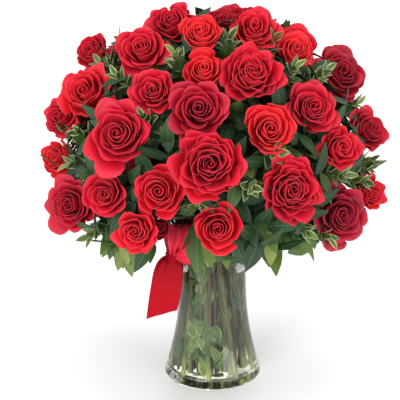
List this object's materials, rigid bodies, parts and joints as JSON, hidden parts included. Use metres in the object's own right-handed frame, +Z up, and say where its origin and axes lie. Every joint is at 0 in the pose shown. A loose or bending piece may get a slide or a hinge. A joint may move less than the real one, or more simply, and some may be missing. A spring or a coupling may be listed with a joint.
{
  "type": "roses in a vase",
  "caption": "Round bouquet of red roses with green leaves in a waisted clear glass vase of water, with a red satin bow under the rim.",
  "frame": {"origin": "centre of the vase's foot, on the surface that it stands on", "axes": "+Z up along the vase's axis; -Y to the front, where the bow hangs on the left; +X to the right seen from the front"},
  "size_m": [0.4081, 0.427, 0.4661],
  "materials": {
    "glass": "clear, polished",
    "water": "clear liquid",
    "satin": "satin sheen",
    "stems_and_leaves": "waxy leaf",
    "petals": "velvety petal"
  },
  "bodies": {
    "root": {"vase": "glass", "water": "water", "ribbon": "satin", "stems_1": "stems_and_leaves", "stems_2": "stems_and_leaves", "stems_3": "stems_and_leaves", "stems_4": "stems_and_leaves", "stems_5": "stems_and_leaves", "stems_6": "stems_and_leaves", "stems_7": "stems_and_leaves", "stems_8": "stems_and_leaves", "rose_01": "petals", "rose_02": "petals", "rose_03": "petals", "rose_04": "petals", "rose_05": "petals", "rose_06": "petals", "rose_07": "petals", "rose_08": "petals", "rose_09": "petals", "rose_10": "petals", "rose_11": "petals", "rose_12": "petals", "rose_13": "petals", "rose_14": "petals", "rose_15": "petals", "rose_16": "petals", "rose_17": "petals", "rose_18": "petals", "rose_19": "petals", "rose_20": "petals", "rose_21": "petals", "rose_22": "petals", "rose_23": "petals", "rose_24": "petals", "rose_25": "petals", "rose_26": "petals", "rose_27": "petals", "rose_28": "petals", "rose_29": "petals", "rose_30": "petals", "rose_31": "petals", "rose_32": "petals", "rose_33": "petals", "rose_34": "petals", "rose_35": "petals", "rose_36": "petals", "rose_37": "petals", "rose_38": "petals", "rose_39": "petals", "rose_40": "petals", "rose_41": "petals", "rose_42": "petals", "rose_43": "petals", "rose_44": "petals", "rose_45": "petals", "rose_46": "petals", "rose_47": "petals", "rose_48": "petals", "rose_49": "petals"}
  },
  "joints": []
}
